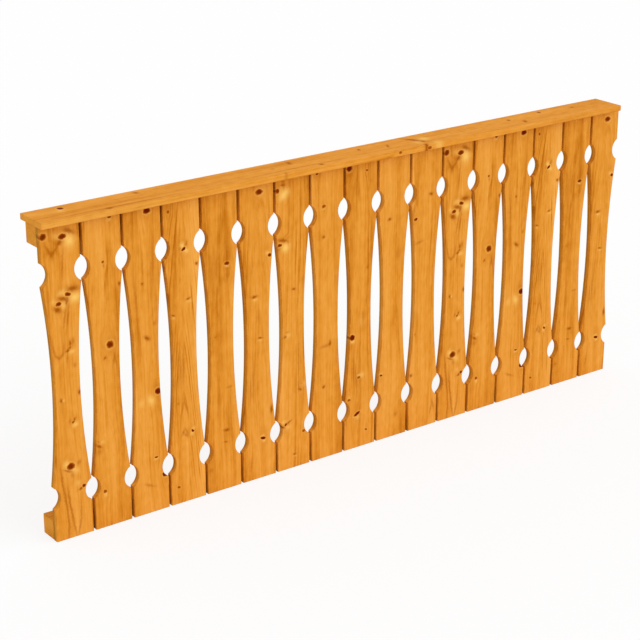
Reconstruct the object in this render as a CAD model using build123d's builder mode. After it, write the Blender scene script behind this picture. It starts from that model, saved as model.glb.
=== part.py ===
import os

from build123d import *

# Wooden balustrade panel: sawn baluster boards side by side in front of two square rails,
# under a flat handrail board. Millimetres, +X along the panel, +Y to the back, +Z up.
# The origin is the middle of the bottom rail's left end face.

# Baluster boards
baluster_count = 17
baluster_width = 105.0
baluster_thickness = 16.0
baluster_height = 824.0
baluster_slit = 7.5

# Sawn edge of a baluster: a notch, a long waist and a second notch, meeting in sharp tips
notch_height = 60.0
notch_depth = 17.25
waist_depth = 17.5
lower_notch_above_rail = 34.0
upper_notch_below_rail = 37.5

# Square rails behind the balusters
rail_height = 54.0
rail_depth = 52.0
rail_edge_radius = 2.0

# Handrail board on top, set a little to the left of the balusters
handrail_width = 105.0
handrail_thickness = 16.0
handrail_front_overhang = 22.0
handrail_left_overhang = 5.0
handrail_right_setback = 14.0
handrail_edge_radius = 2.0

# Places that follow from the sizes
baluster_pitch = baluster_width + baluster_slit
panel_length = baluster_count * baluster_pitch - baluster_slit
panel_bottom = -rail_height / 2
handrail_bottom = panel_bottom + baluster_height
baluster_back = -rail_depth / 2
baluster_front = baluster_back - baluster_thickness
half_width = baluster_width / 2

# Heights on a baluster, counted from its foot
lower_notch_start = rail_height + lower_notch_above_rail
lower_notch_end = lower_notch_start + notch_height
upper_notch_end = baluster_height - rail_height - upper_notch_below_rail
upper_notch_start = upper_notch_end - notch_height
lower_notch_middle = (lower_notch_start + lower_notch_end) / 2
waist_middle = (lower_notch_end + upper_notch_start) / 2
upper_notch_middle = (upper_notch_start + upper_notch_end) / 2

os.makedirs("parts", exist_ok=True)

# Baluster boards, numbered from the left
for number in range(1, baluster_count + 1):
    centre = half_width + (number - 1) * baluster_pitch
    board_plane = Plane(origin=(centre, baluster_back, panel_bottom), x_dir=(1, 0, 0), z_dir=(0, -1, 0))
    with BuildPart() as baluster:
        with BuildSketch(board_plane):
            with BuildLine():
                Polyline((0, 0), (half_width, 0), (half_width, lower_notch_start))
                ThreePointArc(
                    (half_width, lower_notch_start),
                    (half_width - notch_depth, lower_notch_middle),
                    (half_width, lower_notch_end),
                )
                ThreePointArc(
                    (half_width, lower_notch_end),
                    (half_width - waist_depth, waist_middle),
                    (half_width, upper_notch_start),
                )
                ThreePointArc(
                    (half_width, upper_notch_start),
                    (half_width - notch_depth, upper_notch_middle),
                    (half_width, upper_notch_end),
                )
                Polyline((half_width, upper_notch_end), (half_width, baluster_height), (0, baluster_height))
                mirror(about=Plane.YZ)
            make_face()
        extrude(amount=baluster_thickness)
    baluster.part.label = f"baluster_{number:02d}"
    export_step(baluster.part, f"parts/baluster_{number:02d}.step")

# Bottom rail, its underside level with the feet of the balusters
with BuildPart() as bottom_rail:
    with BuildSketch(Plane.YZ):
        RectangleRounded(rail_depth, rail_height, rail_edge_radius)
    extrude(amount=panel_length)
bottom_rail.part.label = "bottom_rail"
export_step(bottom_rail.part, "parts/bottom_rail.step")

# Top rail, its top level with the heads of the balusters
with BuildPart() as top_rail:
    with BuildSketch(Plane.YZ):
        with Locations((0, handrail_bottom - rail_height / 2)):
            RectangleRounded(rail_depth, rail_height, rail_edge_radius)
    extrude(amount=panel_length)
top_rail.part.label = "top_rail"
export_step(top_rail.part, "parts/top_rail.step")

# Handrail board, lying on the balusters and the top rail
handrail_length = handrail_left_overhang + panel_length - handrail_right_setback
handrail_middle = baluster_front - handrail_front_overhang + handrail_width / 2
with BuildPart() as handrail:
    with BuildSketch(Plane.YZ.offset(-handrail_left_overhang)):
        with Locations((handrail_middle, handrail_bottom + handrail_thickness / 2)):
            RectangleRounded(handrail_width, handrail_thickness, handrail_edge_radius)
    extrude(amount=handrail_length)
handrail.part.label = "handrail"
export_step(handrail.part, "parts/handrail.step")
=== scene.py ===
"""The looks of a wooden balustrade panel: knotty glazed boards, two rails, a handrail and their screws."""

import logging
import math
from dataclasses import dataclass, replace
from enum import Enum
from functools import partial

import bpy
import numpy as np
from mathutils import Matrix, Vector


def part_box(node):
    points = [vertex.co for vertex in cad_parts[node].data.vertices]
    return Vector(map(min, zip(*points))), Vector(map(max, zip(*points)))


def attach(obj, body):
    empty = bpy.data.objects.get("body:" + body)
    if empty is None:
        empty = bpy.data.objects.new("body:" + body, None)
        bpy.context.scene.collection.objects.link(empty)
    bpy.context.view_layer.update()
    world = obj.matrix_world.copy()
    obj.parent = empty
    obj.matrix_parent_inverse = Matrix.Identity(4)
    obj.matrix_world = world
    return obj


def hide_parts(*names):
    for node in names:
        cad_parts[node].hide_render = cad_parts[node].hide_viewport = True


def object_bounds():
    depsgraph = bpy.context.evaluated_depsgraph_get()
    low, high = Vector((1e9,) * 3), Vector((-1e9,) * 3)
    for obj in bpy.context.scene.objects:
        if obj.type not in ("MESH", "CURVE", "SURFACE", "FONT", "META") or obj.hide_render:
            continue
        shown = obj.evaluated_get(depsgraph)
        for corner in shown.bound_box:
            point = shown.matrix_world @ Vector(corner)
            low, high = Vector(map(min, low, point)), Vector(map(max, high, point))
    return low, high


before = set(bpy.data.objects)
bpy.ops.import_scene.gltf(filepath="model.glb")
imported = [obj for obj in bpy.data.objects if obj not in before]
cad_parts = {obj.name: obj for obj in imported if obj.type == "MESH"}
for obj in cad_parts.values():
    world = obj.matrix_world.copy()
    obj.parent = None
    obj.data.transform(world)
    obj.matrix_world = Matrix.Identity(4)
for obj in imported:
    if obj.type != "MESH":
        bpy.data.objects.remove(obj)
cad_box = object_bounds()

log = logging.getLogger("balustrade")

BALUSTER_COUNT = 17
MM = 0.001
SHARP_ANGLE = math.radians(32)
ARRIS = "arris"

# A trace of the sums so far goes into the place of each next mark. It moves nothing that can be seen, but the
# renderer then works the marks out one after another, and doesn't run out of room on a plank with many.
IN_TURN = (1e-7, 1e-7, 1e-7)

# How dim the boards' sawn edges are at the back, where little light gets between them.
EDGE_DIM = 0.45

# Where a knot's pale ring fades out and in, as squared distances from the branch in radii.
RING_OUTSIDE = (3.8, 1.6)
RING_INSIDE = (1.9, 1.0)

Colour = tuple[float, float, float, float]
Size = tuple[float, float]

WHITE: Colour = (1.0, 1.0, 1.0, 1.0)


def seen_as(red: int, green: int, blue: int) -> Colour:
    """Linear colour of a tint given as it looks on a screen, from 0 to 255."""
    tint = np.array([red, green, blue]) / 255
    linear = np.where(tint <= 0.04045, tint / 12.92, ((tint + 0.055) / 1.055) ** 2.4)
    return (*(float(part) for part in linear), 1.0)


class Lie(Enum):
    """How a timber lies: the world axes of its width, its depth and its length, and where its show face is.

    The show face is at the low end of the depth axis, or with -1 at its high end.
    """

    UPRIGHT = (0, 1, 2, 1)
    EDGEWAYS = (2, 1, 0, 1)
    FLAT = (1, 2, 0, -1)


class KnotKind(Enum):
    """What is left of a branch, as six strengths.

    They are its darkness, its pale ring, how hard it parts the grain, how warm the wood round it is, how
    brown it is, and how soft its edge is. A kind with no darkness is a soft patch, and only its warmth and
    brown count.
    """

    DEAD = (1.00, 0.55, 0.90, 0.80, 0.0, 0.75)
    TIGHT = (0.86, 0.50, 0.90, 0.80, 0.0, 0.85)
    PIN = (0.57, 0.30, 0.70, 0.50, 0.2, 0.90)
    SMEAR = (0.00, 0.00, 0.00, 0.30, 1.0, 1.00)
    VEIN = (0.00, 0.00, 0.00, 0.00, 0.5, 1.00)
    SHADE = (0.00, 0.00, 0.00, 1.60, 0.0, 1.00)


class Run(Enum):
    """Which way a branch runs: through the plank's thickness, or into its front edge."""

    THROUGH = 0
    INTO_EDGE = 1


class Light(Enum):
    """How light a plank is at one of its ends, judged in plain steps."""

    DUSKY = 0.90
    MUTED = 0.95
    EVEN = 1.00
    FAIR = 1.05
    BRIGHT = 1.10


class Side(Enum):
    """Which side of a plank is the lighter one, and how much."""

    LEFT = -0.10
    NEITHER = 0.0
    RIGHT = 0.20
    STRONGLY_RIGHT = 0.30


@dataclass(frozen=True)
class Knot:
    """A branch cut through by a plank, in millimetres from its middle line and from its foot or left end."""

    kind: KnotKind
    across: float
    along: float
    radius: float
    stretch: float = 1.0
    turn: float = 0.0
    run: Run = Run.THROUGH
    depth: float = 8.0

    def axes(self) -> tuple[tuple[float, float, float], ...]:
        """Three vectors that turn a place into its distance from the branch in radii; the last may be 0."""
        short, long = 1 / self.radius, 1 / (self.radius * self.stretch)
        if self.run is Run.INTO_EDGE:
            return (0.0, short, 0.0), (0.0, 0.0, long), (short / 4, 0.0, 0.0)
        angle = math.radians(self.turn)
        first = (math.cos(angle) * short, 0.05 * short, -math.sin(angle) * short)
        return first, (math.sin(angle) * long, 0.0, math.cos(angle) * long), (0.0, 0.0, 0.0)


@dataclass(frozen=True)
class Flare:
    """A pale, shining patch beside a knot, where the fibres dip into the face; millimetres as for a knot."""

    across: float
    along: float
    width: float
    height: float
    strength: float = 0.8
    turn: float = 0.0


@dataclass(frozen=True)
class Plank:
    """How one plank grew, in millimetres: its pith, its growth rings, its knots and its flares.

    The pith is beside the plank's middle line and below its show face. Lean is how fast the rings drift
    outwards along the plank, and belly how fast that changes, for each thousand millimetres, about a place
    along it. Drift is how far the grain runs to one side. Foot and head are the plank's lightness at its two
    ends, the left and the right one of a rail. Lighter is its lighter side, and a plank with a bright core is
    lighter along its middle line. Dim is how much painted shade darkens its sawn edges towards the back, where
    little light gets between the boards. Worn is how much glaze has gathered on its eased edges, and front
    shade how much painted shade darkens its show face, where other timbers lie on it and little light gets
    between them.
    """

    pith_across: float
    pith_depth: float
    ring: float
    lean: float = 0.0
    belly: float = 0.0
    belly_along: float = 0.0
    drift: float = 0.0
    foot: Light = Light.EVEN
    head: Light = Light.EVEN
    lighter: Side = Side.NEITHER
    bright_core: bool = False
    figure: float = 1.0
    worn: float = 1.0
    dim: float = 0.0
    front_shade: float = 0.0
    seed: float = 0.0
    knots: tuple[Knot, ...] = ()
    flares: tuple[Flare, ...] = ()


class Signal:
    """One output socket of a node, which takes part in ordinary arithmetic."""

    def __init__(self, bench: "Bench", socket: bpy.types.NodeSocket) -> None:
        """Keeps the socket with the bench that it was made on."""
        self.bench = bench
        self.socket = socket

    def beside(self, output: int | str) -> "Signal":
        """Another output of the same node."""
        return Signal(self.bench, self.socket.node.outputs[output])

    def __add__(self, other: "Signal | float") -> "Signal":
        """This signal plus another."""
        return self.bench.math("ADD", self, other)

    __radd__ = __add__

    def __mul__(self, other: "Signal | float") -> "Signal":
        """This signal times another."""
        return self.bench.math("MULTIPLY", self, other)

    __rmul__ = __mul__

    def __sub__(self, other: "Signal | float") -> "Signal":
        """This signal less another."""
        return self.bench.math("SUBTRACT", self, other)

    def __rsub__(self, other: float) -> "Signal":
        """A number less this signal."""
        return self.bench.math("SUBTRACT", other, self)

    def __truediv__(self, other: "Signal | float") -> "Signal":
        """This signal divided by another."""
        return self.bench.math("DIVIDE", self, other)

    def __neg__(self) -> "Signal":
        """This signal with its sign turned."""
        return self.bench.math("MULTIPLY", self, -1.0)


class Bench:
    """A node tree, and the one method that puts nodes into it."""

    def __init__(self, tree: bpy.types.NodeTree) -> None:
        """Starts on an empty tree."""
        self.tree = tree
        self.tree.nodes.clear()

    def node(self, kind: str, settings: dict, inputs: dict, output: int | str = 0) -> Signal | None:
        """Adds a node.

        Args:
            kind: the node's type.
            settings: its own properties, set first.
            inputs: values or signals for its input sockets, by name or number.
            output: the output socket to hand back.

        Returns:
            The chosen output as a signal, or nothing from a node that ends the tree.
        """
        made = self.tree.nodes.new(kind)
        for key, value in settings.items():
            setattr(made, key, value)
        for key, value in inputs.items():
            if isinstance(value, Signal):
                self.tree.links.new(value.socket, made.inputs[key])
            else:
                made.inputs[key].default_value = value
        return Signal(self, made.outputs[output]) if made.outputs else None

    def math(self, operation: str, *values: Signal | float, clamp: bool = False) -> Signal:
        """A Math node on one, two or three values."""
        settings = {"operation": operation, "use_clamp": clamp}
        return self.node("ShaderNodeMath", settings, dict(enumerate(values)))

    def vector(self, operation: str, *values: Signal | tuple) -> Signal:
        """A Vector Math node on vectors, which hands back a vector, or a number from a dot product."""
        output = "Value" if operation == "DOT_PRODUCT" else "Vector"
        return self.node("ShaderNodeVectorMath", {"operation": operation}, dict(enumerate(values)), output)

    def joined(self, first: Signal | float, second: Signal | float, third: Signal | float) -> Signal:
        """Three signals as one vector."""
        return self.node("ShaderNodeCombineXYZ", {}, {0: first, 1: second, 2: third})

    def parted(self, vector: Signal) -> tuple[Signal, Signal, Signal]:
        """A vector as three signals."""
        first = self.node("ShaderNodeSeparateXYZ", {}, {0: vector})
        return first, first.beside(1), first.beside(2)

    def smooth(self, value: Signal, start: Signal | float, end: Signal | float) -> Signal:
        """Rises softly from 0 at start to 1 at end, or falls where end is the lower."""
        settings = {"interpolation_type": "SMOOTHSTEP"}
        return self.node("ShaderNodeMapRange", settings, {"Value": value, "From Min": start, "From Max": end})

    def clamped(self, value: Signal) -> Signal:
        """A value kept between 0 and 1."""
        return self.math("ADD", value, 0.0, clamp=True)

    def noise(self, vector: Signal, detail: float = 2.0, roughness: float = 0.5) -> Signal:
        """Noise about the middle value 0, with features about as large as one unit of the vector."""
        inputs = {"Vector": vector, "Scale": 1.0, "Detail": detail, "Roughness": roughness}
        return self.node("ShaderNodeTexNoise", {"noise_dimensions": "3D"}, inputs) - 0.5

    def mixed(self, factor: Signal, first: "Signal | Colour", second: "Signal | Colour") -> Signal:
        """Goes from the first colour to the second as the factor goes from 0 to 1."""
        return self.node("ShaderNodeMix", {"data_type": "RGBA"}, {0: factor, 6: first, 7: second}, 2)

    def use(self, jig: "Jig", inputs: dict) -> Signal:
        """Puts a jig to work here and hands back its first result."""
        return self.node("ShaderNodeGroup", {"node_tree": jig.tree}, inputs)


class Jig(Bench):
    """A group of nodes that is made once and used in many finishes."""

    def __init__(self, name: str, takes: dict[str, str], gives: dict[str, str]) -> None:
        """Starts a group.

        Args:
            name: the group's name.
            takes: its inputs by name, each "Float" or "Vector".
            gives: its outputs in the same way.
        """
        super().__init__(bpy.data.node_groups.new(name, "ShaderNodeTree"))
        for way, sockets in (("INPUT", takes), ("OUTPUT", gives)):
            for label, kind in sockets.items():
                self.tree.interface.new_socket(name=label, in_out=way, socket_type=f"NodeSocket{kind}")
        self.entry = self.tree.nodes.new("NodeGroupInput")
        self.exit = self.tree.nodes.new("NodeGroupOutput")

    def take(self, label: str) -> Signal:
        """An input of the group."""
        return Signal(self, self.entry.outputs[label])

    def give(self, label: str, result: Signal) -> None:
        """Sends a result out of the group."""
        self.tree.links.new(result.socket, self.exit.inputs[label])


def knot_jig() -> Jig:
    """One knot, added to what the knots before it do.

    The knot's size at a place is the squared distance from its branch in radii. Its heart is dark where that
    is under 1, a pale ring lies just outside, and a bell curve about it parts the grain and warms the wood.
    """
    labels = ("Spot", "Middle", "First", "Second", "Third", "Reach", "Gains", "Hues", "Grain", "Stain")
    takes = dict.fromkeys(labels, "Vector") | dict.fromkeys(("Outer", "Inner"), "Float")
    jig = Jig("knot", takes, {"Grain": "Vector", "Stain": "Vector"})
    spot = jig.vector("MULTIPLY_ADD", jig.take("Grain"), IN_TURN, jig.take("Spot"))
    place = jig.vector("SUBTRACT", spot, jig.take("Middle"))
    names = ("First", "Second", "Third")
    one, two, three = (jig.vector("DOT_PRODUCT", place, jig.take(name)) for name in names)
    size = jig.math("MULTIPLY_ADD", one, one, jig.math("MULTIPLY_ADD", two, two, three * three))
    heart = jig.smooth(size, jig.take("Outer"), jig.take("Inner"))
    ring = jig.smooth(size, *RING_OUTSIDE) - jig.smooth(size, *RING_INSIDE)
    near = jig.vector("MULTIPLY", place, jig.take("Reach"))
    bell = jig.math("EXPONENT", -jig.vector("DOT_PRODUCT", near, near))
    aside = jig.parted(near)[0] * bell
    grain = jig.vector("MULTIPLY_ADD", jig.joined(aside, heart, ring), jig.take("Gains"), jig.take("Grain"))
    stain = jig.vector("MULTIPLY_ADD", jig.joined(bell, heart, 0.0), jig.take("Hues"), jig.take("Stain"))
    jig.give("Grain", grain)
    jig.give("Stain", stain)
    return jig


def patch_jig() -> Jig:
    """One soft patch, a bell curve about its middle, added to the stains so far."""
    labels = ("Spot", "Middle", "First", "Second", "Strength", "Stain")
    jig = Jig("patch", dict.fromkeys(labels, "Vector"), {"Stain": "Vector"})
    spot = jig.vector("MULTIPLY_ADD", jig.take("Stain"), IN_TURN, jig.take("Spot"))
    place = jig.vector("SUBTRACT", spot, jig.take("Middle"))
    one, two = (jig.vector("DOT_PRODUCT", place, jig.take(name)) for name in ("First", "Second"))
    bell = jig.math("EXPONENT", -jig.math("MULTIPLY_ADD", one, one, two * two))
    spread = jig.joined(bell, bell, bell)
    jig.give("Stain", jig.vector("MULTIPLY_ADD", spread, jig.take("Strength"), jig.take("Stain")))
    return jig


@dataclass(frozen=True)
class Figure:
    """How wide and how long the marks of the grain are, in millimetres, and how far they push the rings."""

    fibre: Size = (1.1, 120.0)
    fleck: Size = (3.4, 22.0)
    streak: Size = (4.5, 330.0)
    mottle: Size = (15.0, 30.0)
    cloud: Size = (32.0, 420.0)
    fade: Size = (30.0, 240.0)
    ripple: Size = (16.0, 110.0)
    ripple_push: float = 3.2
    wander: Size = (80.0, 380.0)
    wander_push: float = 26.0
    swell: float = 5.0
    era_rings: float = 2.6
    era_length: float = 900.0
    era_push: float = 1.8
    fine_rings: float = 3.3


def figure_jig(sizes: Figure) -> Jig:
    """The growth rings and fibres of a plank.

    The rings are counted by the distance from the pith, which wanders and ripples a little, plus a lean and a
    belly along the plank. Each ring darkens slowly towards its outside and ends at once, more or less
    strongly from ring to ring. Fibres, flecks, streaks, clouds and mottle are noise drawn out along the grain.

    Args:
        sizes: how large its marks are.

    Returns:
        The group.
    """
    takes = {"Spot": "Vector", "Shift": "Float", "Swell": "Float", "Pith": "Vector", "Growth": "Vector"}
    takes |= {"Drift": "Float", "Seed": "Float"}
    jig = Jig("figure", takes, {name: "Float" for name in ("Late", "Fibre", "Streak", "Cloud")})
    spot, seed = jig.take("Spot"), jig.take("Seed")
    across, depth, along = jig.parted(spot)
    pith_across, pith_depth, belly_along = jig.parted(jig.take("Pith"))
    ring, lean, belly = jig.parted(jig.take("Growth"))

    def drawn_out(place: Signal, size: Size, detail: float, roughness: float = 0.5) -> Signal:
        """Noise so many millimetres wide and long."""
        wide, long = size
        stretched = jig.vector("MULTIPLY", place, (1 / wide, 1 / wide, 1 / long))
        return jig.noise(jig.vector("ADD", stretched, jig.joined(seed, seed, seed)), detail, roughness)

    wander = drawn_out(spot, sizes.wander, 1.0)
    ripple = drawn_out(spot, sizes.ripple, 2.0)
    grown = across - jig.take("Shift") - along * jig.take("Drift")
    grown = grown + wander * sizes.wander_push + ripple * sizes.ripple_push
    flow = jig.joined(grown, depth, along)
    beside = grown - pith_across
    below = depth - pith_depth
    rise = along - belly_along
    radius = jig.math("SQRT", jig.math("MULTIPLY_ADD", beside, beside, below * below))
    radius = radius + rise * lean + rise * rise * belly + jig.take("Swell") * sizes.swell

    era = jig.noise(jig.joined(radius / (ring * sizes.era_rings) + seed, seed, along / sizes.era_length), 1.0)
    count = radius / ring + era * sizes.era_push
    share = jig.math("FRACT", count)
    lot = jig.node("ShaderNodeTexWhiteNoise", {"noise_dimensions": "1D"}, {"W": count - share + seed})
    late = share * share * jig.smooth(share, 1.0, 0.76)
    fade = jig.smooth(drawn_out(spot, sizes.fade, 1.0), -0.16, 0.20)
    fine = jig.math("FRACT", count * sizes.fine_rings)
    fine = fine * fine * jig.smooth(fine, 1.0, 0.70)
    jig.give("Late", late * (lot * 1.1 + 0.15) * (fade + 0.15) + fine * 0.16)
    fleck = drawn_out(flow, sizes.fleck, 2.0)
    jig.give("Fibre", drawn_out(flow, sizes.fibre, 2.0, 0.6) + fleck * 0.9)
    jig.give("Streak", drawn_out(flow, sizes.streak, 2.0))
    mottle = drawn_out(jig.joined(grown + 90.0, depth, along), sizes.mottle, 2.0)
    jig.give("Cloud", drawn_out(flow, sizes.cloud, 1.0) * 0.8 + mottle * 0.5)
    return jig


@dataclass(frozen=True)
class GlazedSpruce:
    """Planed spruce under a clear honey glaze; the tints are given as they look on the face.

    A share is how much one mark of the wood counts in its shade, a stain or the bump. A facing is the part
    of the surface's normal along one axis of the plank, from where a tint starts to where it is full.
    """

    knot: Jig
    patch: Jig
    figure: Jig
    early: Colour = seen_as(246, 173, 77)
    middle: Colour = seen_as(230, 150, 50)
    late: Colour = seen_as(196, 114, 15)
    deep: Colour = seen_as(172, 88, 2)
    pale: Colour = seen_as(255, 202, 104)
    knot_rim: Colour = seen_as(164, 80, 2)
    knot_heart: Colour = seen_as(108, 28, 0)
    end_tint: Colour = seen_as(236, 160, 56)
    # Painted shade tints: dull for the sawn edges towards the back, shadow for show faces between other
    # timbers.
    dull: Colour = seen_as(116, 98, 22)
    shadow: Colour = seen_as(44, 38, 8)
    roughness: float = 0.55
    specular: float = 0.016
    arris_stain: float = 0.24
    patch_spread: float = 1.15
    tone_reach: float = 1.4
    side_reach: float = 0.6
    core_gain: float = 0.15
    core_middle: float = 0.45
    base_shade: float = 0.385
    late_share: float = 0.95
    fibre_share: float = 0.42
    streak_share: float = 0.66
    cloud_share: float = 0.95
    warmth_share: float = 0.14
    halo_share: float = 0.45
    rim_band: Size = (0.0, 0.6)
    heart_band: Size = (0.5, 1.0)
    end_facing: Size = (0.75, 0.97)
    end_share: float = 0.5
    sawn_facing: Size = (0.60, 0.95)
    front_facing: Size = (-0.9, -1.0)
    kerf: Size = (1.7, 26.0)
    kerf_share: float = 0.3
    worn_shares: Size = (1.2, 0.8)
    dim_depth: Size = (2.0, 13.0)
    rough_shares: tuple[float, ...] = (-0.05, 0.12, -0.08, 0.10)
    bump_shares: tuple[float, ...] = (0.10, 0.10, 0.10, 0.08, 0.22)
    bend_across: Size = (2.2, 3.0)
    bend_along: Size = (4.0, 8.0)
    nudge_scale: tuple[float, float, float] = (0.14, 0.03, 0.14)
    nudge: tuple[float, float, float] = (4.5, 0.0, 4.5)

    def stains(self, bench: Bench, spot: Signal, plank: Plank) -> tuple[Signal, Signal]:
        """Adds up what a plank's knots and flares do.

        Returns:
            The grain's sideways shift, the darkness of the knots and their pale rings as one vector, and the
            warmth, brown stain and pale glow as another.
        """
        grain = bench.joined(0.0, 0.0, 0.0)
        stain = grain
        for knot in plank.knots:
            dark, ringing, bending, warmth, brown, soft = knot.kind.value
            if not dark:
                continue
            reach_across = knot.radius * self.bend_across[0] + self.bend_across[1]
            reach_along = knot.radius * knot.stretch * self.bend_along[0] + self.bend_along[1]
            middle = (knot.across, knot.depth if knot.run is Run.INTO_EDGE else 0.0, knot.along)
            first, second, third = knot.axes()
            inputs = {"Spot": spot, "Middle": middle, "First": first, "Second": second, "Third": third}
            inputs |= {"Reach": (1 / reach_across, 0.0, 1 / reach_along)}
            inputs |= {"Outer": 1 + soft, "Inner": 1 - soft}
            inputs |= {"Gains": (reach_across * bending, dark, ringing), "Hues": (warmth, brown, 0.0)}
            inputs |= {"Grain": grain, "Stain": stain}
            grain = bench.use(self.knot, inputs)
            stain = grain.beside(1)
        patches = [(mark, mark.kind.value[3:5]) for mark in plank.knots if not mark.kind.value[0]]
        for mark, (warmth, brown) in patches:
            size = mark.radius * self.patch_spread
            strength = (warmth, brown, 0.0)
            stain = self.patched(bench, spot, stain, mark, (size, size * mark.stretch), strength)
        for flare in plank.flares:
            size = (flare.width, flare.height)
            stain = self.patched(bench, spot, stain, flare, size, (0.0, 0.0, flare.strength))
        return grain, stain

    def patched(
        self, bench: Bench, spot: Signal, stain: Signal, mark: Knot | Flare, size: tuple, strength: tuple
    ) -> Signal:
        """Adds one soft patch to the stains.

        Args:
            bench: where the finish is made.
            spot: the place on the plank.
            stain: the stains so far.
            mark: what gives the patch its middle and its turn.
            size: how wide and how long it is.
            strength: the warmth, brown and glow at its middle.

        Returns:
            The stains with the patch.
        """
        angle = math.radians(mark.turn)
        first = (math.cos(angle) / size[0], 0.0, -math.sin(angle) / size[0])
        second = (math.sin(angle) / size[1], 0.0, math.cos(angle) / size[1])
        inputs = {"Spot": spot, "Middle": (mark.across, 0.0, mark.along), "First": first, "Second": second}
        return bench.use(self.patch, inputs | {"Strength": strength, "Stain": stain})

    def nudged(self, bench: Bench, spot: Signal, seed: float) -> Signal:
        """A place moved by noise about 7 mm wide, which keeps knots and flares from being neat ellipses."""
        wide = bench.vector("MULTIPLY_ADD", spot, self.nudge_scale, (seed, seed, seed))
        inputs = {"Vector": wide, "Scale": 1.0, "Detail": 0.5}
        blur = bench.node("ShaderNodeTexNoise", {"noise_dimensions": "3D"}, inputs, "Color")
        push = bench.vector("SUBTRACT", blur, (0.5, 0.5, 0.5))
        return bench.vector("MULTIPLY_ADD", push, self.nudge, spot)

    def coat(
        self, name: str, plank: Plank, lie: Lie, corner: tuple[float, ...], half: float, length: float
    ) -> bpy.types.Material:
        """Makes the finish of one plank.

        Args:
            name: the material's name.
            plank: how the plank grew.
            lie: which way it lies.
            corner: the middle of its width, its show face and its foot or left end, in metres.
            half: half its width in metres.
            length: its length in metres.

        Returns:
            The material.
        """
        material = bpy.data.materials.new(name)
        material.use_nodes = True
        bench = Bench(material.node_tree)
        width_axis, depth_axis, length_axis, side = lie.value
        axes = bench.parted(bench.node("ShaderNodeTexCoord", {}, {}, "Object"))
        across = (axes[width_axis] - corner[0]) / MM
        depth = (axes[depth_axis] - corner[1]) / (MM * side)
        along = (axes[length_axis] - corner[2]) / MM
        spot = bench.joined(across, depth, along)
        grain, stain = self.stains(bench, self.nudged(bench, spot, plank.seed), plank)
        shift, dark, halo = bench.parted(grain)
        warmth, brown, glow = bench.parted(stain)
        inputs = {"Spot": spot, "Shift": shift, "Swell": warmth, "Drift": plank.drift, "Seed": plank.seed}
        inputs["Pith"] = (plank.pith_across, plank.pith_depth, plank.belly_along)
        inputs["Growth"] = (plank.ring, plank.lean, plank.belly / 1000)
        late = bench.use(self.figure, inputs)
        fibre, streak, cloud = late.beside(1), late.beside(2), late.beside(3)

        beside = across * (MM / half)
        leaning = bench.smooth(beside, -self.side_reach, self.side_reach) - 0.5
        gain = (plank.head.value - plank.foot.value) * MM / length
        tone = along * gain + leaning * plank.lighter.value + (plank.foot.value - 1)
        if plank.bright_core:
            core = self.core_middle - bench.smooth(bench.math("ABSOLUTE", beside), 0.0, self.side_reach)
            tone = tone + core * self.core_gain
        shade = late * (self.late_share * plank.figure) + fibre * self.fibre_share
        shade = shade + streak * self.streak_share + cloud * self.cloud_share + self.base_shade
        shade = shade - tone * self.tone_reach
        # A shade of 0 is early wood, a half is the middle tint, and 1 is late wood.
        wood = bench.mixed(bench.clamped(shade * 2.0), self.early, self.middle)
        wood = bench.mixed(bench.clamped(shade * 2.0 - 1.0), wood, self.late)
        wood = bench.mixed(bench.clamped(warmth * self.warmth_share + brown), wood, self.deep)
        wood = bench.mixed(bench.clamped(glow + halo * self.halo_share), wood, self.pale)
        heart = bench.mixed(bench.smooth(dark, *self.heart_band), self.knot_rim, self.knot_heart)
        wood = bench.mixed(bench.smooth(dark, *self.rim_band), wood, heart)
        facings = bench.parted(bench.node("ShaderNodeNewGeometry", {}, {}, "Normal"))
        end = bench.math("ABSOLUTE", facings[length_axis])
        wood = bench.mixed(bench.smooth(end, *self.end_facing) * self.end_share, wood, self.end_tint)
        sawn = bench.smooth(bench.math("ABSOLUTE", facings[width_axis]), *self.sawn_facing)
        saw_marks = bench.joined(along / self.kerf[0], depth / self.kerf[1], plank.seed)
        kerf = bench.noise(saw_marks, 1.0) * sawn
        arris = bench.node("ShaderNodeAttribute", {"attribute_name": ARRIS}, {}, "Fac")
        gathered = cloud * self.worn_shares[0] + fibre * self.worn_shares[1] + self.arris_stain
        worn = arris * gathered * plank.worn
        wood = bench.mixed(bench.clamped(worn + kerf * self.kerf_share), wood, self.deep)
        # Painted shade: the sawn edges darken towards the back with the dull tint, where little light gets
        # between the boards.
        if plank.dim:
            wood = bench.mixed(bench.smooth(depth, *self.dim_depth) * sawn * plank.dim, wood, self.dull)
        # Painted shade on the show face, where other timbers lie on it and little light gets between them.
        if plank.front_shade:
            front = bench.smooth(facings[depth_axis] * side, *self.front_facing)
            wood = bench.mixed(front * plank.front_shade, wood, self.shadow)

        by_late, by_fibre, by_knot, by_saw = self.rough_shares
        rough = late * by_late + fibre * by_fibre + dark * by_knot + sawn * by_saw + self.roughness
        by_late, by_fibre, by_knot, by_streak, by_kerf = self.bump_shares
        height = late * by_late + fibre * by_fibre + dark * by_knot + streak * by_streak + kerf * by_kerf
        bump = bench.node("ShaderNodeBump", {}, {"Strength": 0.5, "Distance": MM, "Height": height})
        sockets = {"Base Color": wood, "Roughness": rough, "Normal": bump}
        sockets["Specular IOR Level"] = self.specular
        shader = bench.node("ShaderNodeBsdfPrincipled", {}, sockets)
        bench.node("ShaderNodeOutputMaterial", {}, {"Surface": shader})
        return material


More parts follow.
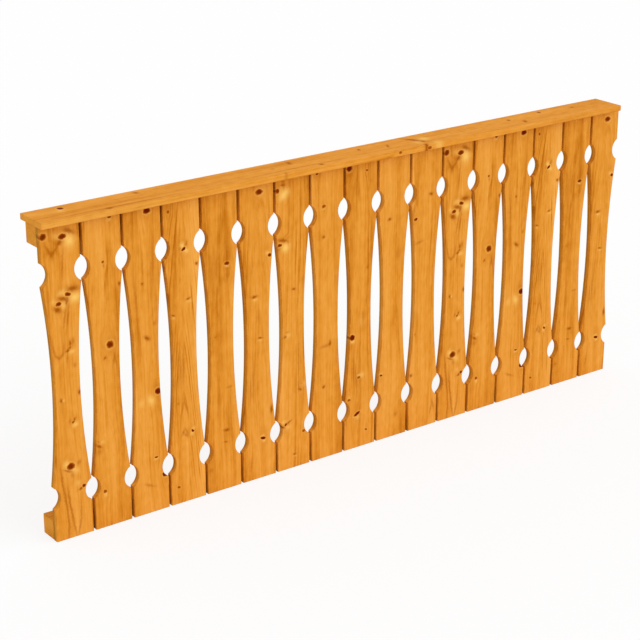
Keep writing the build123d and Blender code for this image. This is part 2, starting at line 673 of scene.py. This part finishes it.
@dataclass(frozen=True)
class ZincPlate:
    """Yellowish zinc on the screws."""

    colour: Colour = seen_as(196, 178, 128)
    dull: Colour = seen_as(150, 132, 88)
    roughness: float = 0.34

    def coat(self, name: str) -> bpy.types.Material:
        """Makes the finish, with a faint mottle."""
        material = bpy.data.materials.new(name)
        material.use_nodes = True
        bench = Bench(material.node_tree)
        place = bench.node("ShaderNodeTexCoord", {}, {}, "Object")
        mottle = bench.noise(bench.vector("MULTIPLY", place, (900.0, 900.0, 900.0)))
        tint = bench.mixed(mottle * 0.5 + 0.5, self.colour, self.dull)
        sockets = {"Base Color": tint, "Metallic": 1.0, "Roughness": mottle * 0.2 + self.roughness}
        shader = bench.node("ShaderNodeBsdfPrincipled", {}, sockets)
        bench.node("ShaderNodeOutputMaterial", {}, {"Surface": shader})
        return material


def put_together(
    name: str, vertices: np.ndarray, faces: list, material: bpy.types.Material
) -> bpy.types.Object:
    """Makes an object from its surface.

    Args:
        name: the object's name.
        vertices: places, one row each.
        faces: vertex numbers of each face.
        material: its finish.

    Returns:
        The object, at the origin, smooth but for its sharp edges.
    """
    mesh = bpy.data.meshes.new(name)
    mesh.from_pydata(vertices.tolist(), [], faces)
    mesh.materials.append(material)
    mesh.polygons.foreach_set("use_smooth", np.ones(len(faces), bool))
    mesh.update()
    mesh.set_sharp_from_angle(angle=SHARP_ANGLE)
    piece = bpy.data.objects.new(name, mesh)
    bpy.context.scene.collection.objects.link(piece)
    return piece


@dataclass
class Timber:
    """One sawn and planed timber with eased edges, which stands for a node of the frame.

    Its outline is the half width against the place along it, so that a shaped board and a plain rail are made
    in the same way.
    """

    node: str
    slot: str
    plank: Plank
    lie: Lie
    finish: GlazedSpruce
    ease: float = 1.0 * MM
    brow: float = 1.5 * MM
    columns: int = 6
    ease_steps: int = 4

    def measure(self) -> tuple[np.ndarray, np.ndarray]:
        """The lowest and highest corners in the frame, as width, depth and length."""
        low, high = (np.array(corner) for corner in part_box(self.node))
        order = list(self.lie.value[:3])
        return low[order], high[order]

    def outline(self, half: float, length: float) -> np.ndarray:
        """Half width against place along, for a straight timber."""
        stops = np.array([0.0, 0.25, 0.5, 0.75, 1.0]) * (length - 4 * self.ease) + 2 * self.ease
        return np.column_stack([np.full(stops.shape, half), stops])

    def rows(self, half: float, length: float) -> tuple[np.ndarray, np.ndarray, np.ndarray]:
        """Rows of the surface from end to end.

        Inside an outline the inward direction at a point is the mitre of its two runs' normals, so that eased
        edges keep their width round the corners. At both ends a quarter round pulls the whole row in, and one
        more row lies on the end itself.

        Returns:
            The edge points, the inward directions, and how far each row is pulled in.
        """
        body = self.outline(half, length)
        runs = np.diff(body, axis=0)
        normals = np.column_stack([-runs[:, 1], runs[:, 0]]) / np.linalg.norm(runs, axis=1)[:, None]
        before, after = normals[:-1], normals[1:]
        mitre = (before + after) / (1 + np.sum(before * after, axis=1))[:, None]
        straight = np.array([[-1.0, 0.0]])
        inward = np.vstack([straight, mitre, straight])
        turn = np.linspace(0, math.pi / 2, self.ease_steps + 1)
        pulled = np.append(self.ease + self.brow, self.ease * (1 - np.sin(turn)))
        lifted = np.append(0.0, self.ease * (1 - np.cos(turn)))
        foot = np.column_stack([half - pulled, lifted])
        head = np.column_stack([half - pulled, length - lifted])[::-1]
        ends = np.repeat(straight, len(pulled), axis=0)
        edge = np.vstack([foot, body, head])
        pulled = np.concatenate([pulled, np.zeros(len(body)), pulled[::-1]])
        return edge, np.vstack([ends, inward, ends]), pulled

    def surface(self) -> tuple[np.ndarray, list, np.ndarray]:
        """The closed skin as a grid of rows and rings.

        Each row is a ring round the timber: down its right side with a quarter round at the front and at the
        back, across the back, up the left side, and across the front, where the columns are even but for a
        narrow one beside each eased edge.

        Returns:
            The vertices in the frame, the faces, and 1 for each vertex on an eased edge and 0 elsewhere.
        """
        low, high = self.measure()
        half, thick, length = (high[0] - low[0]) / 2, high[1] - low[1], high[2] - low[2]
        edge, inward, pulled = self.rows(half, length)
        corner = np.maximum(self.ease - pulled, 0.2 * self.ease)
        turn = np.linspace(0, math.pi / 2, self.ease_steps + 1)
        inset = corner[:, None] * (1 - np.sin(turn))
        sink = pulled[:, None] + corner[:, None] * (1 - np.cos(turn))
        side = sink[:, -1:] + self.brow
        inset = np.hstack([inset, 0 * side, 0 * side, inset[:, ::-1]])
        depth = np.hstack([sink, side, thick - side, (thick - sink)[:, ::-1]])
        right = edge[:, None, 0] + inward[:, None, 0] * inset
        along = edge[:, None, 1] + inward[:, None, 1] * inset
        even = np.linspace(0, 1, self.columns + 1)[1:-1]
        share = np.concatenate([[0.015], even, [0.985]])
        across_back = right[:, -1:] * (1 - 2 * share)
        across_front = right[:, :1] * (2 * share - 1)
        flat = np.ones((1, len(share)))
        ring_across = np.hstack([right, across_back, -right[:, ::-1], across_front])
        ring_along = np.hstack([along, along[:, -1:] * flat, along[:, ::-1], along[:, :1] * flat])
        ring_depth = np.hstack([depth, depth[:, -1:] * flat, depth[:, ::-1], depth[:, :1] * flat])

        way = self.lie.value[3]
        face = low[1] if way > 0 else high[1]
        placed = np.empty((*ring_across.shape, 3))
        placed[..., self.lie.value[0]] = (low[0] + high[0]) / 2 + ring_across
        placed[..., self.lie.value[1]] = face + way * ring_depth
        placed[..., self.lie.value[2]] = low[2] + ring_along

        count, around = ring_across.shape
        on_ring = np.tile(np.repeat([1.0, 0.0, 1.0, 0.0], [len(turn), 2, len(turn), len(share)]), 2)
        on_row = np.zeros(count)
        on_row[1 : len(turn) + 1] = on_row[-len(turn) - 1 : -1] = 1.0
        arris = np.maximum(on_row[:, None], on_ring[None, :])
        arris[0] = arris[-1] = 0.0
        here = np.arange(count * around).reshape(count, around)
        beside = np.roll(here, -1, axis=1)
        quads = np.stack([here[:-1], beside[:-1], beside[1:], here[1:]], axis=-1).reshape(-1, 4)
        faces = [*quads.tolist(), here[0, ::-1].tolist(), here[-1].tolist()]
        a, b, c = (placed.reshape(-1, 3)[quads[:, k]] for k in (0, 1, 2))
        if np.sum(np.cross(b - a, c - a) * (a - placed.mean(axis=(0, 1)))) < 0:
            faces = [ring[::-1] for ring in faces]
        return placed.reshape(-1, 3), faces, arris.ravel()

    def build(self) -> bpy.types.Object:
        """Makes the timber, dresses it and sets it in place of its node."""
        low, high = self.measure()
        face = low[1] if self.lie.value[3] > 0 else high[1]
        corner = ((low[0] + high[0]) / 2, face, low[2])
        length = high[2] - low[2]
        half = (high[0] - low[0]) / 2
        material = self.finish.coat(f"spruce_{self.node}", self.plank, self.lie, corner, half, length)
        vertices, faces, arris = self.surface()
        piece = put_together(f"{self.node}_wood", vertices, faces, material)
        piece.data.attributes.new(ARRIS, "FLOAT", "POINT").data.foreach_set("value", arris)
        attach(piece, "root")
        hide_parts(self.node)
        log.info("%s: %d faces", piece.name, len(faces))
        return piece


@dataclass
class Baluster(Timber):
    """An upright board whose edges have a notch, a long waist and a second notch."""

    notch_height: float = 60.0 * MM
    notch_depth: float = 17.25 * MM
    waist_depth: float = 17.5 * MM
    lower_notch_start: float = 88.0 * MM
    upper_notch_end: float = 732.5 * MM
    notch_steps: int = 18
    waist_steps: int = 40

    def outline(self, half: float, length: float) -> np.ndarray:
        """Half width against height.

        A hollow is an arc over its chord: its radius is the squared half chord plus the squared depth, over
        twice the depth, and its points are spread evenly by angle.
        """
        lower_end = self.lower_notch_start + self.notch_height
        upper_start = self.upper_notch_end - self.notch_height
        hollows = (
            (self.lower_notch_start, lower_end, self.notch_depth, self.notch_steps),
            (lower_end, upper_start, self.waist_depth, self.waist_steps),
            (upper_start, self.upper_notch_end, self.notch_depth, self.notch_steps),
        )
        parts = [np.array([[half, 2 * self.ease]])]
        for start, end, deep, steps in hollows:
            chord = (end - start) / 2
            radius = (chord**2 + deep**2) / (2 * deep)
            widest = math.asin(chord / radius)
            angle = np.linspace(-widest, widest, steps + 1)
            inset = radius * np.cos(angle) - (radius - deep)
            arc = np.column_stack([half - inset, (start + end) / 2 + radius * np.sin(angle)])
            parts.append(arc if start == self.lower_notch_start else arc[1:])
        parts.append(np.array([[half, length - 2 * self.ease]]))
        return np.vstack(parts)


@dataclass
class Screws:
    """Countersunk screw heads with a six-lobed drive, seen on the rails' backs and under the top rail."""

    head_radius: float = 5.0 * MM
    proud: float = 0.35 * MM
    drive_depth: float = 1.6 * MM
    lobe: float = 0.16
    spokes: int = 24
    aside: float = 26.0 * MM
    apart: float = 20.0 * MM
    under_count: int = 9
    under_span: Size = (0.03, 0.97)

    def head(self) -> np.ndarray:
        """One head about its own axis, as rings of points: place across, place across, height.

        Each ring is a circle, and those of the drive swell and shrink six times round by the lobe's share.
        """
        radii = np.array([1.0, 1.0, 0.86, 0.46, 0.40, 0.34, 0.02]) * self.head_radius
        heights = np.array([-1.2 * MM, 0.1 * MM, self.proud, self.proud, 0.0, 0.0, 0.0])
        heights[4:] = self.proud - np.array([0.25, 1.0, 1.05]) * self.drive_depth
        lobes = np.array([0.0, 0.0, 0.0, 1.0, 1.0, 1.0, 0.0]) * self.lobe
        angle = np.linspace(0, 2 * math.pi, self.spokes, endpoint=False)
        radius = radii[:, None] * (1 + lobes[:, None] * np.cos(6 * angle))
        height = np.repeat(heights[:, None], self.spokes, axis=1)
        return np.stack([radius * np.cos(angle), radius * np.sin(angle), height], axis=-1)

    def places(self) -> tuple[np.ndarray, np.ndarray]:
        """Where the heads sit and which way they face, one row each."""
        spots, ways = [], []
        for rail in ("bottom_rail", "top_rail"):
            low, high = (np.array(corner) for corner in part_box(rail))
            for number in range(1, BALUSTER_COUNT + 1):
                left, right = (np.array(corner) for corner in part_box(f"baluster_{number:02d}"))
                middle = (left[0] + right[0]) / 2
                for hand in (-1, 1):
                    height = (low[2] + high[2]) / 2 + hand * self.apart / 2
                    spots.append((middle + hand * self.aside, high[1], height))
                    ways.append((0.0, 1.0, 0.0))
        low, high = (np.array(corner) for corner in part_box("top_rail"))
        for share in np.linspace(*self.under_span, self.under_count):
            spots.append((low[0] + share * (high[0] - low[0]), (low[1] + high[1]) / 2, low[2]))
            ways.append((0.0, 0.0, -1.0))
        return np.array(spots), np.array(ways)

    def build(self) -> bpy.types.Object:
        """Makes all heads as one piece."""
        head = self.head()
        spots, ways = self.places()
        first = np.where(np.abs(ways[:, :1]) > 0.5, [[0.0, 1.0, 0.0]], [[1.0, 0.0, 0.0]])
        second = np.cross(ways, first)
        points = (
            spots[:, None, None, :]
            + head[None, ..., :1] * first[:, None, None, :]
            + head[None, ..., 1:2] * second[:, None, None, :]
            + head[None, ..., 2:] * ways[:, None, None, :]
        )
        many, rings, spokes = points.shape[:3]
        here = np.arange(many * rings * spokes).reshape(many, rings, spokes)
        beside = np.roll(here, -1, axis=2)
        quads = np.stack([here[:, :-1], beside[:, :-1], beside[:, 1:], here[:, 1:]], axis=-1).reshape(-1, 4)
        floors = here[:, -1, :].tolist()
        backs = here[:, 0, ::-1].tolist()
        material = ZincPlate().coat("zinc_screws")
        faces = [*quads.tolist(), *floors, *backs]
        piece = put_together("rail_screws", points.reshape(-1, 3), faces, material)
        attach(piece, "root")
        log.info("%s: %d heads", piece.name, many)
        return piece


dead, tight, pin, smear, vein, shade = (partial(Knot, kind) for kind in KnotKind)
DUSKY, MUTED, EVEN, FAIR, BRIGHT = Light

BALUSTER_PLANKS = (
    Plank(-18, 44, 9.0, 0.004, 0.0, 300, foot=MUTED, head=MUTED, seed=1.7, figure=0.7, knots=(
        tight(-44, 799, 7.6, 1.1, 90), tight(7.5, 791, 6.2, 1.6, 88), smear(26, 801, 5.5, 2.6, 115),
        smear(-1, 778, 5.6, 1.4, 60), vein(-12, 763, 3.2, 3.8, 38), vein(-33, 765, 3.0, 6.0, -24),
        vein(-22, 752, 3.4, 3.4), shade(-20, 768, 9.0, 1.7), vein(3.5, 722, 2.6, 16.0, 6),
        tight(14, 645, 4.6, 1.6, 100), smear(28, 656, 6.0, 2.3, 98), shade(34, 666, 8.0),
        tight(-12, 625, 4.7, 1.5, 92), smear(1, 636, 4.0, 2.7, 108), smear(11, 629, 3.2, 2.4, 25),
        smear(-16, 611, 5.8, 1.7, 120), vein(3, 590, 2.6, 13.0, 10), vein(12, 590, 2.6, 12.0, 10),
        vein(-32, 512, 2.8, 7.0, -12), vein(-22, 490, 3.0, 2.6, -52), vein(-12, 492, 3.0, 2.6, 42),
        vein(-5, 512, 3.6, 4.4, 6), smear(5, 501, 3.6, 1.3, 80), smear(12, 508, 2.3, 1.4, 55),
        smear(13, 519, 2.9, 2.4), vein(22, 522, 3.6, 2.2), vein(4, 484, 2.4, 8.0, 3),
        vein(23, 460, 4.0, 1.2), smear(31, 387, 3.8, 1.5), smear(-19, 376, 3.0, 1.7, -25),
        pin(10, 312, 3.2, 1.2, 90), smear(14, 318, 2.4, 2.0, 20), vein(1, 316, 3.0, 1.8),
        tight(-3, 196, 8.6, 1.14, 90), smear(-10, 185, 2.4, 4.4, 113), vein(20, 201, 4.6, 1.4, 40),
        vein(0, 172, 4.0, 1.4), tight(31, 134, 4.0, 1.2, 60), smear(22, 128, 2.6, 2.2, 75),
        vein(-30, 176, 2.5, 14.0, -3), vein(-24, 124, 2.7, 13.0, -7), vein(-18, 68, 2.8, 14.0, -5),
        vein(-18, 18, 2.7, 9.0, 4), vein(-13, 120, 2.5, 12.0, -5), vein(-8, 78, 2.7, 11.0, -10),
        vein(-1, 30, 2.8, 11.0, -9), vein(19, 66, 2.5, 10.0, 3), vein(13, 22, 2.8, 8.0, 13),
    ), flares=(
        Flare(25, 778, 14, 16, 0.95, -20), Flare(-12, 796, 9, 9, 0.35), Flare(33, 633, 16, 12, 0.95),
        Flare(-3, 652, 13, 8, 0.5, -10), Flare(1, 618, 6, 10, 0.6), Flare(-25, 633, 7, 6, 0.4),
        Flare(17, 497, 8, 5, 0.6, -20), Flare(-13, 375, 3.5, 3.5, 0.6), Flare(16, 304, 9, 6, 0.7, -30),
        Flare(-16, 205, 8, 9, 0.6, 20), Flare(9, 182, 11, 9, 0.55, 40), Flare(15, 146, 8, 8, 0.4),
    )),
    Plank(22, 44, 9.0, 0.02, 0.04, 500, foot=MUTED, head=BRIGHT, lighter=Side.LEFT, bright_core=True,
        seed=4.1, figure=0.6, knots=(
        tight(23, 815, 2.8, 1.8, 95), pin(0, 706, 3.4), vein(2, 696, 2.0, 2.6), smear(43, 642, 3.2, 1.8),
        tight(10, 490, 9.0), smear(-6, 458, 3.2, 1.2, 60), smear(-34, 228, 3.6, 2.2, 125),
        vein(-35, 240, 1.8, 3.0, 115), vein(-34, 212, 5.4, 1.3), pin(-23, 100, 4.6, 1.1),
        vein(18, 446, 2.6, 6.5, 12), vein(25, 440, 2.6, 7.7, -10),
    ), flares=(Flare(22, 808, 6, 4, 0.4), Flare(-21, 91, 5, 6, 0.55), Flare(-24, 236, 6, 5, 0.4))),
    Plank(-30, 38, 9.5, 0.03, 0.0, 300, foot=BRIGHT, head=MUTED, bright_core=True,
        seed=7.9, figure=0.6, knots=(
        dead(15, 811, 7.0, 1.3, 90), smear(-5, 627, 3.4), vein(26, 517, 3.6, 1.2),
        smear(3, 482, 4.6, 1.9, 128), dead(29, 333, 8.0), tight(17, 152, 2.4, 2.2, 105),
        dead(41, 97, 5.6, 1.4, 125), vein(-4, 78, 3.2, 4.6, -65), vein(27, 680, 3.4, 15.0, 2),
        vein(-26, 595, 3.1, 14.2, -3),
    ), flares=(Flare(8, 312, 15, 10, 0.75, 60), Flare(-20, 310, 8, 12, 0.4), Flare(17, 147, 7, 3, 0.5))),
    Plank(-7, 9, 9.0, 0.10, 0.0, 300, foot=FAIR, head=EVEN, lighter=Side.STRONGLY_RIGHT,
        seed=12.3, figure=0.9, knots=(
        pin(-37, 797, 4.2), dead(4, 693, 4.0, 1.7, 65), vein(12, 705, 3.6, 2.0, 20),
        vein(-6, 697, 3.4, 1.8, 20), smear(41, 648, 3.9), smear(14, 560, 2.8, 2.3, 75),
        smear(-31, 524, 2.4, 1.9, 110), dead(17, 196, 2.9, 1.6, 125), vein(-4, 190, 3.4, 2.4, -40),
        vein(-25, 282, 3.4), pin(-30, 47, 3.2, 1.4, 100), vein(-15, 385, 2.9, 14.8, -1),
        vein(-6, 378, 2.9, 16.1, 2), vein(-12, 268, 2.8, 7.1, 14), vein(0, 266, 2.8, 7.1, -14),
        vein(-12, 198, 2.8, 3.2, 24), vein(-1, 198, 2.8, 3.2, -24), vein(-20, 715, 3.7, 9.0, 3),
    ), flares=(
        Flare(0, 703, 6, 8, 0.8), Flare(12, 688, 7, 6, 0.8, 45), Flare(17, 553, 8, 4, 0.4),
        Flare(-31, 518, 4, 3, 0.5), Flare(14, 190, 5, 6, 0.6), Flare(20, 204, 6, 4, 0.5),
    )),
    Plank(16, 46, 9.6, 0.015, 0.0, 300, foot=MUTED, head=DUSKY, lighter=Side.RIGHT,
        seed=15.6, figure=0.5, knots=(
        tight(19, 629, 4.6, 1.6, 90), vein(-20, 437, 3.4), vein(20, 290, 2.6, 3.0, 95),
        smear(9, 170, 4.0, 2.1, 97), smear(5, 137, 2.4, 2.0, 100), vein(-42, 67, 5.0),
        vein(20, 662, 3.1, 8.4), vein(20, 596, 2.8, 9.0, 2), shade(-18, 620, 13.0, 3.4),
    ), flares=(Flare(19, 622, 7, 3, 0.5),)),
    Plank(2, 42, 9.4, 0.03, 0.05, 400, lighter=Side.RIGHT, seed=21.2, figure=0.7, knots=(
        tight(9, 799, 6.8, 1.5, 90), tight(39, 625, 5.2), smear(-10, 520, 3.6, 2.3, 90),
        smear(7, 403, 2.2, 3.0, 102), dead(12, 115, 4.3, 1.7, 102), smear(40, 192, 3.8, 2.6),
        vein(-17, 278, 2.9, 16.8, 1), vein(-26, 268, 2.5, 12.9, 2), vein(-27, 45, 2.8, 6.5, 8),
    ), flares=(
        Flare(32, 632, 7, 6, 0.5), Flare(-9, 512, 7, 3, 0.55), Flare(6, 397, 8, 3, 0.4),
        Flare(14, 107, 7, 4, 0.6), Flare(10, 123, 7, 3, 0.5),
    )),
    Plank(-34, 36, 9.0, -0.02, 0.0, 300, foot=BRIGHT, head=DUSKY, lighter=Side.LEFT,
        seed=25.4, figure=0.7, knots=(
        tight(-47, 791, 5.6), smear(-30, 804, 3.2, 2.2, 100), smear(-31, 655, 3.7, 3.8, 106),
        shade(-20, 660, 7.0, 1.6, 80), tight(-41, 644, 3.8, 1.6, 97), vein(-43, 634, 4.0, 1.4),
        smear(2, 515, 3.2, 1.5, 95), smear(-26, 386, 3.5, 1.3, 70), vein(-19, 398, 2.6, 2.2, 90),
        vein(16, 230, 2.0, 6.0), smear(22, 225, 2.9, 1.5, 135), vein(30, 239, 1.8, 4.4, 125),
        tight(-26, 133, 3.0, 1.5, 60), smear(-18, 137, 2.8, 3.4, 62), smear(-35, 128, 2.6, 2.2, 120),
        pin(33, 101, 4.4), smear(3, 39, 2.7, 1.7, 110), vein(17, 315, 2.0, 29.7),
    ), flares=(
        Flare(-30, 777, 12, 15, 0.95, 20), Flare(-16, 784, 9, 12, 0.4), Flare(-24, 634, 12, 12, 0.95),
        Flare(-16, 388, 8, 8, 0.45), Flare(35, 238, 8, 8, 0.4), Flare(-33, 143, 8, 6, 0.6),
        Flare(-19, 124, 8, 5, 0.5), Flare(5, 34, 6, 3, 0.4),
    )),
    Plank(18, 44, 9.6, 0.01, 0.0, 300, foot=DUSKY, head=BRIGHT, bright_core=True,
        seed=31.5, figure=0.6, knots=(
        tight(-34, 816, 2.9, 1.5, 95), pin(-12, 723, 4.4, 1.4, 90), smear(-13, 639, 4.0),
        smear(9, 335, 3.6, 1.9), vein(-6, 330, 4.0, 3.6, 85), smear(-12, 212, 4.0),
    ), flares=(Flare(-12, 716, 6, 3, 0.35),)),
    Plank(-20, 36, 9.2, 0.02, 0.03, 500, foot=BRIGHT, head=DUSKY, bright_core=True,
        seed=36.8, figure=0.7, knots=(
        dead(-41, 811, 7.6, 1.15, 90), pin(17, 797, 3.2, 1.3, 110), vein(22, 525, 4.0),
        dead(-28, 332, 8.0), pin(-4, 210, 3.8, 1.5, 85), pin(-38, 150, 3.8, 1.4, 90),
        dead(-10, 102, 4.5, 2.3, 62), pin(22, 47, 2.8, 1.7, 120), vein(-22, 230, 2.6, 19.4, -3),
        vein(-14, 210, 2.5, 16.8, -5), vein(8, 380, 3.4, 5.2, 4),
    ), flares=(
        Flare(6, 215, 10, 9, 0.5), Flare(4, 372, 7, 14, 0.3), Flare(-26, 320, 8, 6, 0.5),
        Flare(-8, 91, 9, 6, 0.5), Flare(-5, 217, 6, 3, 0.4), Flare(-37, 158, 7, 4, 0.4),
    )),
    Plank(6, 50, 9.4, 0.015, 0.0, 300, foot=MUTED, head=EVEN, lighter=Side.LEFT,
        seed=41.1, figure=0.6, knots=(
        smear(-16, 646, 3.6, 1.6, 85), tight(-39, 196, 2.5, 2.0, 110), vein(15, 65, 5.0),
        shade(18, 545, 8.0, 2.2),
    ), flares=(Flare(-37, 202, 5, 3, 0.4),)),
    Plank(-24, 40, 9.2, -0.02, 0.0, 300, seed=47.3, figure=0.6, knots=(
        smear(16, 692, 4.8, 1.2, 90), tight(-37, 629, 4.1, 1.4, 88), vein(-22, 560, 4.0, 3.2, 80),
        vein(-32, 290, 3.2), smear(-43, 169, 4.2), vein(-43, 655, 2.8, 7.7, 8), vein(32, 52, 2.8, 7.7, 12),
        vein(40, 60, 2.6, 5.8, -10),
    )),
)

RAIL_PLANKS = {
    "bottom_rail": Plank(4, 31, 5.0, 0.004, 0.0, 900, foot=MUTED, head=MUTED, front_shade=0.95,
        seed=7.7, figure=0.8, knots=(
        tight(9, 210, 6.0), tight(-12, 640, 5.0), tight(14, 1010, 7.0), tight(-6, 1420, 4.0),
        tight(3, 1730, 6.0),
    )),
    "top_rail": Plank(-6, 28, 5.4, -0.003, 0.0, 900, foot=MUTED, head=MUTED, front_shade=0.95,
        seed=17.2, figure=0.8, knots=(
        tight(-10, 120, 5.0), tight(6, 480, 7.0), tight(-14, 900, 4.0), tight(12, 1290, 6.0),
        tight(-4, 1660, 5.0),
    )),
}

HANDRAIL_PLANK = Plank(62, 10, 9.0, 0.012, 0.0, 900, seed=9.9, figure=0.6, worn=0.2, knots=(
        tight(27, 94, 7.4), smear(31, 305, 4.6, 1.6, -70), smear(-40, 190, 4.6, 1.5),
        vein(-37, 260, 3.6, 30.0), smear(24, 760, 5.4, 1.8, 80), smear(-35, 822, 5.2, 1.2),
        pin(18, 985, 5.2), smear(2, 1070, 3.4, 2.8, 60), smear(8, 1164, 6.0, 4.4, -60),
        pin(-14, 1178, 4.6, 1.6, -60), smear(-50, 1162, 5.0, 2.4, 60), vein(4, 695, 4.0, 1.6),
        pin(-52, 1070, 3.8, 1.3, run=Run.INTO_EDGE, depth=6.0), vein(-48, 700, 4.0, 2.4, 60),
        pin(-52, 1172, 4.2, 1.4, run=Run.INTO_EDGE, depth=9.0), pin(29, 1645, 5.6, 1.4, 80),
        smear(14, 1515, 4.6, 1.5, 60), smear(-22, 1545, 5.0, 2.0, 60), smear(17, 1765, 4.4, 1.3),
        shade(-58, 1700, 8.0, 22.0),
), flares=(
        Flare(-57, 110, 9, 330, 0.24), Flare(4, 1196, 16, 14, 0.7), Flare(-20, 1160, 12, 12, 0.45),
        Flare(-48, 1204, 12, 12, 0.6), Flare(12, 86, 12, 8, 0.5),
))


@dataclass
class Viewpoint:
    """Where the panel is seen from: metres, degrees, and millimetres for the lens and its sensor."""

    place: tuple[float, float, float] = (-1.8141, -3.5884, 2.0654)
    yaw: float = -36.557
    pitch: float = 69.127
    lens: float = 99.60
    sensor: float = 36.0
    far: float = 200.0

    def build(self) -> None:
        """Sets the camera up."""
        data = bpy.data.cameras.new("viewpoint")
        data.lens = self.lens
        data.sensor_width = self.sensor
        data.clip_end = self.far
        camera = bpy.data.objects.new("viewpoint", data)
        camera.location = self.place
        camera.rotation_euler = (math.radians(self.pitch), 0.0, math.radians(self.yaw))
        bpy.context.scene.collection.objects.link(camera)
        bpy.context.scene.camera = camera


@dataclass
class Studio:
    """A plain white floor under soft even light."""

    floor_half: float = 40.0
    floor_tint: float = 0.84
    floor_veil: float = 0.80
    floor_gap: float = 0.3 * MM
    sky: float = 0.78
    key: float = 0.98
    key_spread: float = 60.0
    key_aim: tuple[float, float, float] = (55.0, 0.0, 35.0)

    def build(self) -> None:
        """Lays the floor and hangs the lights."""
        low = cad_box[0][2] - self.floor_gap
        half = self.floor_half
        material = bpy.data.materials.new("studio_floor")
        material.use_nodes = True
        bench = Bench(material.node_tree)
        seen = bench.node("ShaderNodeLightPath", {}, {}, "Is Camera Ray")
        tint = (self.floor_tint, self.floor_tint, self.floor_tint, 1.0)
        colour = bench.mixed(seen, tint, WHITE)
        matt = bench.node("ShaderNodeBsdfDiffuse", {}, {"Color": colour})
        white = bench.node("ShaderNodeEmission", {}, {"Color": WHITE})
        veil = bench.node("ShaderNodeMixShader", {}, {0: seen * self.floor_veil, 1: matt, 2: white})
        bench.node("ShaderNodeOutputMaterial", {}, {"Surface": veil})
        corners = np.array([[-half, -half, low], [half, -half, low], [half, half, low], [-half, half, low]])
        floor = put_together("studio_floor", corners, [[0, 1, 2, 3]], material)
        self.build_sky()
        lamp = bpy.data.lights.new("soft_key", "SUN")
        lamp.energy = self.key
        lamp.angle = math.radians(self.key_spread)
        key = bpy.data.objects.new("soft_key", lamp)
        key.rotation_euler = tuple(math.radians(turn) for turn in self.key_aim)
        bpy.context.scene.collection.objects.link(key)

    def build_sky(self) -> None:
        """Even light from all round, which looks white where it is seen."""
        world = bpy.data.worlds.new("studio_sky")
        world.use_nodes = True
        bench = Bench(world.node_tree)
        seen = bench.node("ShaderNodeLightPath", {}, {}, "Is Camera Ray")
        strength = seen * (1 - self.sky) + self.sky
        light = bench.node("ShaderNodeBackground", {}, {"Color": WHITE, "Strength": strength})
        bench.node("ShaderNodeOutputWorld", {}, {"Surface": light})
        bpy.context.scene.world = world


def main() -> None:
    """Builds the camera, the studio and every piece of the panel, in that order."""
    logging.basicConfig(level=logging.INFO, format="%(name)s: %(message)s")
    Viewpoint().build()
    Studio().build()
    spruce = GlazedSpruce(knot_jig(), patch_jig(), figure_jig(Figure()))
    for number in range(1, BALUSTER_COUNT + 1):
        plank = BALUSTER_PLANKS[(number - 1) % len(BALUSTER_PLANKS)]
        plank = replace(plank, dim=EDGE_DIM)
        Baluster(f"baluster_{number:02d}", "baluster_wood", plank, Lie.UPRIGHT, spruce).build()
    for node, plank in RAIL_PLANKS.items():
        Timber(node, "rail_wood", plank, Lie.EDGEWAYS, spruce, ease=2.0 * MM, columns=3).build()
    Timber("handrail", "handrail_wood", HANDRAIL_PLANK, Lie.FLAT, spruce, ease=2.0 * MM).build()
    Screws().build()
    bpy.context.scene.view_settings.view_transform = "Standard"


if __name__ == "__main__":
    main()
